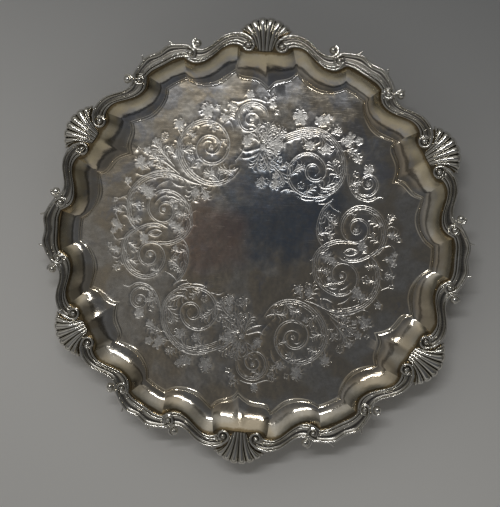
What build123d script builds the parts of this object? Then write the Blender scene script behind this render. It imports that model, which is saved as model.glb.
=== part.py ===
from build123d import *
import os
from math import cos, dist, radians, sin

# Silver salver with a shaped "Chippendale" border: a thin raised tray, a border of cast
# scallop shells and scroll mouldings soldered on its flange, and three cast scroll feet.
# Millimetres.  +Z is up, the salver stands on z = 0 and its middle is over the origin.
# The first shell points along +Y and the others follow clockwise, seen from above.

# ---- driving dimensions ----------------------------------------------------------------
LOBES = 6                       # border repeats, one shell each
PITCH = 360 / LOBES             # degrees from one shell to the next
FEET = 3                        # under every second shell
SHEET = 0.8                     # thickness of the tray's sheet
FOOT_HEIGHT = 15.0              # table to the underside of the flat
RIM_RISE = 6.5                  # top of the flat to the top of the flange
LEDGE_RISE = 0.45               # the fine step where the flat meets the bouge
BASE_TURN = 0.6                 # degrees the flat's outline sits clockwise of the border
CROWN_RADIUS = 122.2            # outer edge of the border half way between two shells
EDGE_RADIUS = 121.6             # the same for the sheet, which stops a little short
BEAD_HEIGHT = 2.9               # tops of the moulding's three beads, above the flange
SECOND_HEIGHT = 2.5
THIRD_HEIGHT = 2.05

flat_z = FOOT_HEIGHT + SHEET
ledge_z = flat_z + LEDGE_RISE
rim_z = flat_z + RIM_RISE


# ---- plan helpers: points are (x, y) in the first lobe, whose shell axis is +Y -----------
def turn(point, degrees):
    """The point turned clockwise about the salver's middle."""
    c, s = cos(radians(degrees)), sin(radians(degrees))
    return (point[0] * c + point[1] * s, point[1] * c - point[0] * s)


def polar(radius, degrees):
    """A point at an angle measured clockwise from the shell axis."""
    return turn((0, radius), degrees)


def flip(points):
    """The same line on the other side of the shell axis, drawn the other way."""
    return [(-x, y) for x, y in reversed(points)]


def across(points):
    """The same line mirrored in the middle of the C-scroll, half a pitch round."""
    return [turn((-x, y), PITCH) for x, y in reversed(points)]


def link(corner, middle):
    """From one lobe's last corner to the next lobe's first, by the radius half way."""
    return [corner, polar(middle, PITCH / 2), turn((-corner[0], corner[1]), PITCH)]


def blend(start, end, share):
    return [(a[0] + (b[0] - a[0]) * share, a[1] + (b[1] - a[1]) * share)
            for a, b in zip(start, end)]


# ---- the bouge's two outlines ------------------------------------------------------------
# Under each shell the flat has a brace-shaped pocket whose point leans clockwise, and under
# each S-scroll it swings in and out again.  The flange's inner edge has the same corners.
base_scroll = [(17.6, 99.1), (21.3, 96.0), (25.9, 92.3), (30.6, 90.3),
               (35.6, 89.6), (41.1, 90.2), (45.6, 92.3)]
base_pocket_left = [(-17.6, 99.1), (-15.8, 96.2), (-11.0, 94.9), (-5.0, 94.2), (2.2, 89.4)]
base_pocket_right = [(2.2, 89.4), (5.5, 92.9), (9.0, 94.1), (14.0, 95.8), (17.6, 99.1)]
base_lobe = [flip(base_scroll), base_pocket_left, base_pocket_right, base_scroll,
             link(base_scroll[-1], 103.2)]
base_lobe = [[turn(p, BASE_TURN) for p in line] for line in base_lobe]

rim_scroll = [(15.8, 112.2), (20.5, 111.9), (25.8, 108.7), (30.4, 104.4),
              (35.2, 101.3), (40.5, 100.3), (46.5, 103.4)]
rim_pocket = [(0.0, 109.0), (4.5, 109.3), (9.2, 108.9), (13.4, 109.9), (15.8, 112.2)]
rim_lobe = [flip(rim_scroll), flip(rim_pocket), rim_pocket, rim_scroll,
            link(rim_scroll[-1], 113.8)]


def bouge_ring(share):
    """Closed outline part of the way from the flat's edge (0) to the flange (1)."""
    for lobe in range(LOBES):
        for base, rim in zip(base_lobe, rim_lobe):
            Spline([turn(p, lobe * PITCH) for p in blend(base, rim, share)])


def cavetto(share, rise):
    """The bouge's rise: nearly level at the flat and steepest at the flange."""
    return rise * share ** 1.8


# ---- tray: flat, ledge, bouge and flange, raised from one sheet --------------------------
sheet_edge_scroll = [(14.3, 118.8), (17.8, 118.8), (22.2, 117.2), (26.8, 113.7),
                     (31.3, 110.0), (36.0, 108.4), (40.6, 109.2), (46.5, 110.3),
                     (53.6, 110.1)]
bouge_shares = (0, 0.25, 0.5, 0.75, 1)
under_shift = 0.07              # the underside follows this much further out

with BuildPart() as tray:
    for share in bouge_shares:
        with BuildSketch(Plane.XY.offset(FOOT_HEIGHT + cavetto(share, RIM_RISE))):
            with BuildLine():
                bouge_ring(share + under_shift)
            make_face()
    loft()
    with BuildSketch(Plane.XY.offset(rim_z - SHEET)):
        with BuildLine():
            for lobe in range(LOBES):
                turned = [turn(p, lobe * PITCH) for p in sheet_edge_scroll]
                before = [turn(p, lobe * PITCH) for p in flip(sheet_edge_scroll)]
                Spline(before)
                ThreePointArc(before[-1], turn((0, 127.4), lobe * PITCH), turned[0])
                Spline(turned)
                ThreePointArc(turned[-1], polar(EDGE_RADIUS, (lobe + 0.5) * PITCH),
                              turn(flip(sheet_edge_scroll)[0], (lobe + 1) * PITCH))
        make_face()
    extrude(amount=SHEET)
    with BuildSketch(Plane.XY.offset(flat_z)):
        with BuildLine():
            bouge_ring(-0.07)
        make_face()
    extrude(amount=LEDGE_RISE, mode=Mode.SUBTRACT)
    for share in bouge_shares:
        with BuildSketch(Plane.XY.offset(ledge_z + cavetto(share, rim_z - ledge_z))):
            with BuildLine():
                bouge_ring(share + 0.06 * (1 - share))
            make_face()
    loft(mode=Mode.SUBTRACT)
tray.part.label = "tray"


# ---- scroll mouldings --------------------------------------------------------------------
def station_plane(outer, inner):
    """Upright plane through both ends of a station, with x running inwards."""
    dx, dy = inner[0] - outer[0], inner[1] - outer[1]
    return Plane(origin=(outer[0], outer[1], rim_z), x_dir=(dx, dy, 0), z_dir=(dy, -dx, 0))


def moulding_outline(wide):
    """The border's moulding: outer bead, cove and two inner beads on a flat back."""
    Line((0, 0), (0, 1.9))
    ThreePointArc((0, 1.9), (0.10 * wide, BEAD_HEIGHT), (0.20 * wide, 2.1))
    ThreePointArc((0.20 * wide, 2.1), (0.40 * wide, 1.25), (0.60 * wide, 1.9))
    ThreePointArc((0.60 * wide, 1.9), (0.69 * wide, SECOND_HEIGHT), (0.78 * wide, 1.7))
    ThreePointArc((0.78 * wide, 1.7), (0.89 * wide, THIRD_HEIGHT), (wide, 1.2))
    Line((wide, 1.2), (wide, 0))
    Line((wide, 0), (0, 0))


# Outer and inner ends of the stations, from the curl beside the shell to the C-scroll.
s_stations = [((5.4, 114.2), (11.4, 111.9)), ((6.7, 117.0), (11.9, 111.2)),
              ((9.3, 118.2), (12.6, 110.4)), ((13.0, 119.5), (14.8, 111.7)),
              ((17.3, 119.5), (17.3, 112.2)), ((22.4, 118.0), (21.2, 111.6)),
              ((27.4, 114.4), (25.6, 108.8)), ((31.8, 110.7), (29.8, 104.9)),
              ((36.0, 109.2), (34.6, 101.6)), ((39.0, 109.5), (40.0, 100.4)),
              ((41.4, 110.4), (46.5, 103.4))]
shell_eye = (9.7, 112.6)
crown_eye = (42.4, 106.3)
VOLUTE = 3.3                    # radius of the scrolls' rolled ends
# A rolled end is a disc with a raised ring round a raised eye: radius, bore and height.
volute_steps = ((VOLUTE, 0, 1.7), (VOLUTE, VOLUTE - 1.2, 2.75), (1.25, 0, 2.9))
BALL = 2.2                      # radius of the ball held in the S-scroll's outer hook
HOOK = 0.8                      # thickness of the hook round the ball, as a radius
ball_centre = (38.4, 112.2)
ball_z = rim_z + 1.2

with BuildPart() as s_scroll:
    for outer, inner in s_stations:
        with BuildSketch(station_plane(outer, inner)):
            with BuildLine():
                moulding_outline(dist(outer, inner))
            make_face()
    loft()
    with BuildSketch(Plane.XY.offset(rim_z)):
        with Locations(shell_eye, crown_eye):
            Circle(VOLUTE)
    extrude(amount=2 * BEAD_HEIGHT, mode=Mode.SUBTRACT)
    for radius, bore, height in volute_steps:
        with BuildSketch(Plane.XY.offset(rim_z)):
            with Locations(shell_eye):
                Circle(radius)
                if bore:
                    Circle(bore, mode=Mode.SUBTRACT)
        extrude(amount=height)
    with Locations((*ball_centre, ball_z)):
        Sphere(BALL, rotation=(0, 0, 150))
    with BuildLine() as hook:
        CenterArc((*ball_centre, ball_z), BALL + 0.45, -95, 150)
    with BuildSketch(Plane(hook.line @ 0, z_dir=hook.line % 0)):
        Circle(HOOK)
    sweep(path=hook.line)

c_half = [((41.9, 110.9), (46.5, 103.4)), ((46.5, 111.3), (48.6, 103.0)),
          ((51.0, 111.1), (50.8, 102.2)), ((54.8, 110.4), (52.8, 101.1))]
c_middle = (polar(CROWN_RADIUS, PITCH / 2), polar(113.8, PITCH / 2))
c_stations = c_half + [c_middle]
c_stations += [tuple(turn((-x, y), PITCH) for x, y in pair) for pair in reversed(c_half)]
spur_tip = (54.3, 112.0)

with BuildPart() as c_scroll:
    for outer, inner in c_stations:
        with BuildSketch(station_plane(outer, inner)):
            with BuildLine():
                moulding_outline(dist(outer, inner))
            make_face()
    loft()
    crown_eyes = (crown_eye, turn((-crown_eye[0], crown_eye[1]), PITCH))
    with BuildSketch(Plane.XY.offset(rim_z)):
        with Locations(*crown_eyes):
            Circle(VOLUTE)
    extrude(amount=2 * BEAD_HEIGHT, mode=Mode.SUBTRACT)
    for radius, bore, height in volute_steps:
        with BuildSketch(Plane.XY.offset(rim_z)):
            with Locations(*crown_eyes):
                Circle(radius)
                if bore:
                    Circle(bore, mode=Mode.SUBTRACT)
        extrude(amount=height)
    spur = [(52.6, 110.4), spur_tip, (55.6, 109.8)]
    for corner in (spur, across(spur)):
        with BuildSketch(Plane.XY.offset(rim_z)):
            with BuildLine():
                Polyline(*corner, close=True)
            make_face()
        extrude(amount=2.2)

# ---- scallop shell: eight rounded flutes fanning from a short base -----------------------
# Each flute's plan: start, bend and end, and its half-width at the end.
flutes = [((0.9, 109.9), (1.1, 118.0), (2.5, 126.7), 2.5),
          ((2.7, 109.9), (3.3, 118.0), (7.3, 124.8), 2.4),
          ((4.4, 110.4), (5.6, 118.0), (11.2, 122.2), 2.1),
          ((5.4, 114.6), (7.4, 119.6), (13.6, 120.9), 1.5)]
FLUTE_START = 0.95              # half-width of a flute at the shell's base
TIP_SWELL = 1.06                # each flute ends in a ball this much wider
shell_side = [(5.9, 109.3), (5.8, 112.0), (5.15, 114.1), (6.4, 117.2), (9.1, 119.1),
              (13.1, 120.45), (15.2, 120.65)]

with BuildPart() as shell:
    with BuildSketch(Plane.XY.offset(rim_z)):
        with BuildLine():
            ThreePointArc(flip(shell_side)[-1], (0, 108.9), shell_side[0])
            Spline(shell_side)
            ThreePointArc(shell_side[-1], (0, 128.2), flip(shell_side)[0])
            Spline(flip(shell_side))
        make_face()
    extrude(amount=1.1)
    for start, bend, end, half_width in flutes:
        for side in (1, -1):
            for step in (0, 0.33, 0.67, 1):
                a, b, c = (1 - step) ** 2, 2 * step * (1 - step), step ** 2
                at = [a * start[i] + b * bend[i] + c * end[i] for i in (0, 1)]
                way = [(1 - step) * (bend[i] - start[i]) + step * (end[i] - bend[i])
                       for i in (0, 1)]
                size = FLUTE_START + (half_width - FLUTE_START) * step
                crest = 1.7 + 5.2 * step - 3.9 * step ** 2
                station = Plane(origin=(side * at[0], at[1], rim_z + crest - size),
                                z_dir=(side * way[0], way[1], 0))
                with BuildSketch(station):
                    Circle(size)
            loft()
            with Locations((side * end[0] * 0.985, end[1] - 0.3, rim_z + crest - size)):
                Sphere(size * TIP_SWELL)
    with BuildSketch(Plane.XY.offset(rim_z - 5)):
        Rectangle(80, 300)
    extrude(amount=5, mode=Mode.SUBTRACT)
    for side in (shell_side, flip(shell_side)):
        with BuildSketch(Plane.XY.offset(rim_z)):
            with BuildLine():
                Spline(side)
                widest = max(side[0][0], side[-1][0], key=abs)
                Polyline(side[-1], (widest, shell_side[0][1]), side[0])
            make_face()
        extrude(amount=8, mode=Mode.SUBTRACT)

# ---- foot: a palmette plate on the flat's underside and a scrolled leg below it ----------
FOOT_WIDTH = 4.6
leg_front = [(88.0, 13.8), (91.0, 10.8), (88.2, 6.4), (89.2, 3.2), (91.0, 1.4)]
leg_back = [(84.6, 0.0), (84.9, 3.0), (85.2, 6.4), (83.6, 10.4), (79.5, 13.8)]

with BuildPart() as foot:
    with BuildSketch(Plane.XY.offset(FOOT_HEIGHT - 1.2)):
        with Locations((0, 82.6)):
            Circle(5.2)
        with Locations((4.6, 79.6), (-4.6, 79.6)):
            Circle(3.4)
        with Locations((0, 76.6)):
            Circle(3.8)
    extrude(amount=1.2)
    with BuildSketch(Plane.YZ):
        with BuildLine():
            Spline(leg_front)
            Polyline(leg_front[-1], (90.4, 0.0), leg_back[0])
            Spline(leg_back)
            Line(leg_back[-1], leg_front[0])
        make_face()
    extrude(amount=FOOT_WIDTH / 2, both=True)
    with BuildSketch(Plane.YZ):
        with Locations((88.0, 10.6)):
            Circle(2.5)
        with Locations((88.8, 1.9)):
            Circle(1.9)
    extrude(amount=FOOT_WIDTH / 2 + 0.8, both=True)
    with BuildSketch(Plane.YZ):
        with Locations((88.0, 10.6)):
            Circle(1.1)
    extrude(amount=FOOT_WIDTH / 2 + 1.4, both=True)

# ---- every cast piece, copied round the border -------------------------------------------
castings = []
for lobe in range(LOBES):
    around = (0, 0, -lobe * PITCH)
    with BuildPart() as shell_copy:
        add(shell.part, rotation=around)
    shell_copy.part.label = f"shell_{lobe + 1}"
    with BuildPart() as right_copy:
        add(s_scroll.part, rotation=around)
    right_copy.part.label = f"s_scroll_right_{lobe + 1}"
    with BuildPart() as left_copy:
        add(s_scroll.part.mirror(Plane.YZ), rotation=around)
    left_copy.part.label = f"s_scroll_left_{lobe + 1}"
    with BuildPart() as crown_copy:
        add(c_scroll.part, rotation=around)
    crown_copy.part.label = f"c_scroll_{lobe + 1}"
    castings += [shell_copy, right_copy, left_copy, crown_copy]
for index in range(FEET):
    with BuildPart() as foot_copy:
        add(foot.part, rotation=(0, 0, -index * 360 / FEET))
    foot_copy.part.label = f"foot_{index + 1}"
    castings.append(foot_copy)

os.makedirs("parts", exist_ok=True)
export_step(tray.part, "parts/tray.step")
for casting in castings:
    export_step(casting.part, f"parts/{casting.part.label}.step")
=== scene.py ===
"""Silver salver: engraved flat, cavetto bouge and a cast border of shells and scrolls."""
from math import atan2, cos, hypot, pi, radians, sin, sqrt, tau

import bmesh
import bpy
import mathutils
import mathutils.geometry
import mathutils.kdtree
import numpy as np
from mathutils import Matrix, Vector


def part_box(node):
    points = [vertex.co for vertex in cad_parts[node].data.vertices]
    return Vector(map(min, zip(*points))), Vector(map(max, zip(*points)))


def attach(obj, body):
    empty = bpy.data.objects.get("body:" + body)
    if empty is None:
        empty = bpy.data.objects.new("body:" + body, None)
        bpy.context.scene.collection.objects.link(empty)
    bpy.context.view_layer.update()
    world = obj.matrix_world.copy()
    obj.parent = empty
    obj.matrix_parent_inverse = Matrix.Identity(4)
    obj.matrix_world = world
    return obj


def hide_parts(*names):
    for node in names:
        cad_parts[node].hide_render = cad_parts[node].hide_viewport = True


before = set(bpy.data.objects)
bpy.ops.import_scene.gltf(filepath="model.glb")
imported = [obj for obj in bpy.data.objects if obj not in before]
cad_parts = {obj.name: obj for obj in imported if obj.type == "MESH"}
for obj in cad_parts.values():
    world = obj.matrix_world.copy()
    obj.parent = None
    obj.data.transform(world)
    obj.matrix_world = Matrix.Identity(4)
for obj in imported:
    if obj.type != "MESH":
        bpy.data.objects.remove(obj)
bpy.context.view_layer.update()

MM = 0.001
LOBES, PITCH = 6, 60.0                     # the border's lobes, and degrees between them
SHEET = 0.8                                # thickness of the tray's sheet, mm
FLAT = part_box("tray")[0][2] / MM + SHEET   # top of the flat, mm above the table
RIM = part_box("tray")[1][2] / MM            # top of the flange, mm above the table


# ---- plan helpers, in mm; the first shell's axis is +Y ----------------------------------
def turn(p, degrees):
    """The point turned clockwise about the salver's middle."""
    c, s = cos(radians(degrees)), sin(radians(degrees))
    return (p[0] * c + p[1] * s, p[1] * c - p[0] * s)


def polar(radius, degrees):
    """A point by its distance from the middle and its clockwise angle from +Y."""
    return turn((0, radius), degrees)


def flip(points):
    """The line mirrored in the shell's axis."""
    return [(-x, y) for x, y in reversed(points)]


def mirrored(p):
    """The point mirrored in the middle of the C-scroll."""
    return turn((-p[0], p[1]), PITCH)


def across(points):
    """The line mirrored in the middle of the C-scroll."""
    return [mirrored(p) for p in reversed(points)]


def link_line(corner, middle):
    """A corner of the C-scroll, the middle at its radius, and the other corner."""
    return [corner, polar(middle, PITCH / 2), mirrored(corner)]


def smooth(points, count):
    """count + 1 points on the natural cubic spline through the given ones."""
    p = np.array(points, float)
    if len(p) == 2:
        return p[0] + (p[1] - p[0]) * np.linspace(0, 1, count + 1)[:, None]
    t = np.concatenate([[0], np.cumsum(np.linalg.norm(np.diff(p, axis=0), axis=1))])
    h = np.diff(t)
    a = np.zeros((len(p), len(p)))
    b = np.zeros_like(p)
    a[0, 0] = a[-1, -1] = 1
    for i in range(1, len(p) - 1):
        a[i, i - 1], a[i, i], a[i, i + 1] = h[i - 1], 2 * (h[i - 1] + h[i]), h[i]
        b[i] = 6 * ((p[i + 1] - p[i]) / h[i] - (p[i] - p[i - 1]) / h[i - 1])
    m = np.linalg.solve(a, b)              # second derivatives at the given points
    s = np.linspace(0, t[-1], count + 1)
    k = np.clip(np.searchsorted(t, s, side="right") - 1, 0, len(h) - 1)
    u, v, g = (s - t[k])[:, None], (t[k + 1] - s)[:, None], h[k][:, None]
    return (m[k] * v ** 3 + m[k + 1] * u ** 3) / (6 * g) \
        + (p[k] / g - m[k] * g / 6) * v + (p[k + 1] / g - m[k + 1] * g / 6) * u


def directions(line):
    """Unit vectors along the line at each of its points."""
    way = np.gradient(line, axis=0)
    return way / np.linalg.norm(way, axis=1)[:, None]


def beside(line, gap):
    """The line moved to its left by gap, which is one number or one for each point."""
    way = directions(line)
    return line + np.reshape(gap, (-1, 1)) * np.column_stack([-way[:, 1], way[:, 0]])


def spiral(eye, start, end, r0, r1, count):
    """Points turning about an eye; angles in degrees."""
    q = np.radians(np.linspace(start, end, count))
    r = np.linspace(r0, r1, count)
    return [(eye[0] + a * cos(b), eye[1] + a * sin(b)) for a, b in zip(r, q)]


# ---- mesh helpers -----------------------------------------------------------------------
MERGE = 1e-7                               # vertices closer than this are one, m
TUBE_SIDES = 12


def new_piece(name, verts, faces, sharp):
    """An object from mm vertices, shaded smooth except over corners above sharp degrees.

    Its "cavity" attribute says how hollow the surface is at each vertex.
    """
    mesh = bpy.data.meshes.new(name)
    mesh.from_pydata([Vector(v) * MM for v in verts], [], faces)
    bm = bmesh.new()
    bm.from_mesh(mesh)
    bmesh.ops.remove_doubles(bm, verts=bm.verts, dist=MERGE)
    bmesh.ops.recalc_face_normals(bm, faces=bm.faces)
    bm.normal_update()
    hollow = [sum((e.other_vert(v).co - v.co).normalized().dot(v.normal)
                  for e in v.link_edges) / max(1, len(v.link_edges)) for v in bm.verts]
    bm.to_mesh(mesh)
    bm.free()
    mesh.attributes.new("cavity", "FLOAT", "POINT").data.foreach_set("value", hollow)
    mesh.shade_smooth()
    mesh.set_sharp_from_angle(angle=radians(sharp))
    piece = bpy.data.objects.new(name, mesh)
    bpy.context.scene.collection.objects.link(piece)
    return piece


def strip(rows, verts, faces, closed=False, cap=False):
    """Joins equal rows of points into quads.

    closed joins each row's two ends, and cap fills the first and the last row.
    """
    first, n = len(verts), len(rows[0])
    for row in rows:
        verts.extend(tuple(p) for p in row)
    for r in range(len(rows) - 1):
        a, b = first + r * n, first + (r + 1) * n
        for i in range(n if closed else n - 1):
            j = (i + 1) % n
            faces.append((a + i, a + j, b + j, b + i))
    if cap:
        faces.append(tuple(range(first, first + n))[::-1])
        last = first + (len(rows) - 1) * n
        faces.append(tuple(range(last, last + n)))


def dome(row, at, way, radius):
    """Shrinking rows of points that round off the end of a tube."""
    return [[at + (p - at) * sqrt(1 - q * q) + way * radius * q for p in row]
            for q in (0.35, 0.7, 0.93)]


def tube(path, radii, verts, faces):
    """A round bead along a path of 3-D points, with domed ends."""
    p = np.array(path, float)
    ways = directions(p)
    rows = []
    for at, way, r in zip(p, ways, radii):
        side = np.cross(way, (0, 0, 1))
        side /= np.linalg.norm(side)
        up = np.cross(side, way)
        rows.append([at + r * (cos(q) * side + sin(q) * up)
                     for q in (tau * k / TUBE_SIDES for k in range(TUBE_SIDES))])
    front = dome(rows[0], p[0], -ways[0], radii[0])
    back = dome(rows[-1], p[-1], ways[-1], radii[-1])
    strip(front[::-1] + rows + back, verts, faces, closed=True, cap=True)


def ball(centre, radius, verts, faces, rings=10, sides=18):
    """A ball from rings of points, with small flat poles."""
    rows = []
    for i in range(1, rings):
        q = pi * i / rings
        rows.append([(centre[0] + radius * sin(q) * cos(tau * k / sides),
                      centre[1] + radius * sin(q) * sin(tau * k / sides),
                      centre[2] + radius * cos(q)) for k in range(sides)])
    strip(rows, verts, faces, closed=True, cap=True)


# ---- tray: outlines shared with the CAD --------------------------------------------------
BASE_TURN = 0.6                            # the flat's outline against the border, degrees
base_scroll = [(17.6, 99.1), (21.3, 96.0), (25.9, 92.3), (30.6, 90.3),
               (35.6, 89.6), (41.1, 90.2), (45.6, 92.3)]
base_left = [(-17.6, 99.1), (-15.8, 96.2), (-11.0, 94.9), (-5.0, 94.2), (2.2, 89.4)]
base_right = [(2.2, 89.4), (5.5, 92.9), (9.0, 94.1), (14.0, 95.8), (17.6, 99.1)]
base_lobe = [flip(base_scroll), base_left, base_right, base_scroll,
             link_line(base_scroll[-1], 103.2)]
base_lobe = [[turn(p, BASE_TURN) for p in line] for line in base_lobe]
rim_scroll = [(15.8, 112.2), (20.5, 111.9), (25.8, 108.7), (30.4, 104.4),
              (35.2, 101.3), (40.5, 100.3), (46.5, 103.4)]
rim_pocket = [(0.0, 109.0), (4.5, 109.3), (9.2, 108.9), (13.4, 109.9), (15.8, 112.2)]
rim_lobe = [flip(rim_scroll), flip(rim_pocket), rim_pocket, rim_scroll,
            link_line(rim_scroll[-1], 113.8)]
edge_scroll = [(14.3, 118.8), (17.8, 118.8), (22.2, 117.2), (26.8, 113.7),
               (31.3, 110.0), (36.0, 108.4), (40.6, 109.2), (46.5, 110.3)]
edge_pocket = [(0, 127.4), (5.2, 126.6), (10.0, 124.2), (14.3, 118.8)]
edge_link = [(46.5, 110.3), (53.6, 110.1), polar(121.6, 30)]
edge_lobe = [flip(edge_scroll), flip(edge_pocket), edge_pocket, edge_scroll,
             edge_link + across(edge_link)[1:]]
STEPS = (20, 14, 14, 20, 12)               # segments along each edge of a lobe


def closed_outline(lobe_lines):
    """All six lobes as one closed ring of points."""
    ring = []
    for lobe in range(LOBES):
        for line, steps in zip(lobe_lines, STEPS):
            ring += [turn(p, lobe * PITCH) for p in smooth(line, steps)[:-1]]
    return np.array(ring)


base_ring, rim_ring = closed_outline(base_lobe), closed_outline(rim_lobe)
edge_ring = closed_outline(edge_lobe)


def bouge_ring(share, height):
    """A ring of the tray, between the flat's outline (0) and the flange's inner edge (1)."""
    return [(x, y, height) for x, y in base_ring + (rim_ring - base_ring) * share]


# ---- engraving on the flat: half the pattern, in mm --------------------------------------
# The other half is the same turned by half a turn round TURN_ABOUT.
TURN_ABOUT = np.array((-0.85, 0.65))

# Scrolls: points of the stem, its width, lines beside it (gap, start, stop) and comma strokes
# off it (side, start, stop, count, length); start and stop are shares of its length.
SCROLLS = (
    ([(3, 56), (8, 60), (14, 63.8), (21, 66.8), (29, 68.2), (37, 66.3), (43, 61.5), (47.5, 55),
      (49.3, 47), (47.8, 39), (43, 33), (36, 29.8), (28.5, 29.3), (22, 32), (18, 37), (16.8, 43),
      (19, 49.5), (24, 53.7), (30, 54.5), (35.8, 51.3), (38.8, 45.5), (37.5, 40.5), (33, 38.2),
      (28.8, 39.8), (27, 43.5), (28.3, 47.2), (31.3, 48.4), (34.3, 46.6), (34.8, 43.8),
      (33, 42)], 0.7,
     ((-1.1, 0.05, 0.46), (-2.2, 0.08, 0.4), (-3.3, 0.08, 0.22), (-4.3, 0.07, 0.18),
      (0.9, 0.12, 0.5), (-1.2, 0.5, 0.82), (-1.2, 0.84, 0.97)),
     ((-1, 0.24, 0.42, 5, 6.0), (-1, 0.08, 0.2, 3, 4.5), (-1, 0.43, 0.52, 2, 4.0),
      (-1, 0.62, 0.74, 4, 4.2), (1, 0.18, 0.3, 3, 3.0), (1, 0.5, 0.6, 3, 3.2))),
    ([(50.5, 46), (51.5, 40), (53.5, 35), (57, 31), (62, 29), (67, 29.8), (70.5, 31.8),
      (72.5, 31.5)], 0.7,
     ((1.0, 0.1, 0.9),),
     ((1, 0.2, 0.7, 3, 3.0),)),
    ([(54, 41), (56, 35.5), (59.5, 32.3), (64.5, 31.8), (68, 34.5), (69, 39), (67, 43),
      (63, 44.3), (60, 42), (59.8, 38.5), (62, 36.2), (65, 36.8), (66, 39.5), (64.3, 41.5),
      (62.3, 40.5)], 0.6,
     ((1.0, 0.2, 0.7),),
     ((1, 0.05, 0.3, 3, 2.6),)),
    ([(66, -3), (72, 1), (75, 8), (74.3, 15), (71, 21), (65, 24.8), (58.5, 25), (53, 21.5),
      (50, 16), (50.2, 10.5), (53.5, 6.3), (58.5, 5.2), (63, 7.2), (65, 11.5), (63.5, 16),
      (59.5, 17.8), (56, 16), (55.2, 12.3), (57.3, 9.8), (60, 10), (61.3, 12.2),
      (59.5, 13.8)], 0.65,
     ((-1.1, 0.0, 0.55), (1.1, 0.05, 0.6), (2.2, 0.1, 0.35), (-1.0, 0.6, 0.9)),
     ((1, 0.02, 0.3, 4, 4.6), (1, 0.32, 0.42, 2, 3.4))),
    ([(49.5, -4.3), (53, -6), (59, -6.4), (65, -4.2), (70, -0.3), (74.5, 3.3), (78.5, 4.5)], 0.65,
     ((1.0, 0.1, 0.8), (2.0, 0.1, 0.45)),
     ()),
    ([(52.3, -1.5), (54.5, 0.8), (58, 1), (60.3, -0.3), (58.5, -2), (55, -2.8),
      (52.6, -1.8)], 0.8,
     ((-1.0, 0.1, 0.9),),
     ()),
    ([(44, 29), (39, 24), (36.3, 17), (35.8, 10), (37.5, 4.5), (41.5, 0)], 0.65,
     ((1.1, 0.05, 0.9), (2.2, 0.2, 0.8)),
     ((1, 0.1, 0.8, 4, 5.0),)),
    ([(64.5, 2.8), (60, 4.6), (54.5, 5.3), (48, 4.8), (42, 2.2), (38, -1.5), (35.8, -6),
      (36, -12), (37.5, -18), (41, -22.5), (46, -25.6), (52, -26.6), (57.5, -24.3), (60.7, -19),
      (60.3, -13), (56.5, -8.7), (51.5, -7.7), (47.6, -10.3), (46.6, -14.8), (48.7, -18),
      (52.3, -18.4), (54.7, -16), (54.2, -13.2), (51.8, -12.4), (50.6, -14)], 0.65,
     ((1.2, 0.08, 0.6), (2.3, 0.18, 0.45), (-1.0, 0.12, 0.4), (-1.0, 0.62, 0.92)),
     ((1, 0.15, 0.42, 5, 4.8), (1, 0.46, 0.56, 2, 4.0), (-1, 0.25, 0.4, 3, 3.0))),
    ([(66, -1), (71, -5.5), (73.6, -12), (73.6, -19), (71, -26), (66, -31.5), (59, -35),
      (52, -36.3), (45, -35.2), (38, -32.3), (31, -30.6)], 0.7,
     ((-1.1, 0.05, 0.85), (-2.3, 0.1, 0.75), (1.0, 0.3, 0.7)),
     ((-1, 0.08, 0.4, 5, 5.0), (-1, 0.5, 0.85, 5, 5.0), (1, 0.1, 0.3, 3, 3.0))),
    ([(9, -41.5), (13, -35.5), (19, -31.7), (26, -30.8), (33, -32.8), (39.5, -37.5), (44, -44),
      (45.7, -51), (44, -58), (39.5, -63.8), (33.5, -67.4), (27, -68), (21, -65.2), (17, -60),
      (15.7, -53.5), (18, -47), (23, -43.2), (29, -43.2), (33.8, -47), (35, -52.5), (32.8, -57.5),
      (28, -59.8), (23.3, -58), (21.3, -53.8), (23, -50), (27, -49), (29.8, -51),
      (29.6, -54)], 0.7,
     ((-1.2, 0.03, 0.5), (-2.4, 0.06, 0.36), (1.0, 0.2, 0.48), (-1.2, 0.5, 0.75),
      (-1.1, 0.8, 0.95)),
     ((-1, 0.02, 0.2, 4, 5.5), (-1, 0.24, 0.42, 5, 5.0), (-1, 0.5, 0.6, 3, 4.0),
      (1, 0.3, 0.46, 4, 3.4), (-1, 0.66, 0.74, 2, 3.0))),
    ([(-5, -70), (-3.5, -75.5), (0.5, -78.6), (5.5, -79), (10, -76.3), (12, -71.5), (11, -66.5),
      (7, -63.2), (2.5, -63.8), (-0.5, -67.3), (0, -71.5), (3, -73.8), (6.5, -73), (7.8, -70),
      (6, -67.5), (3.6, -68.2)], 0.65,
     ((-1.0, 0.0, 0.5), (1.1, 0.1, 0.6)),
     ((1, 0.1, 0.4, 4, 3.4),))
)

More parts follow.
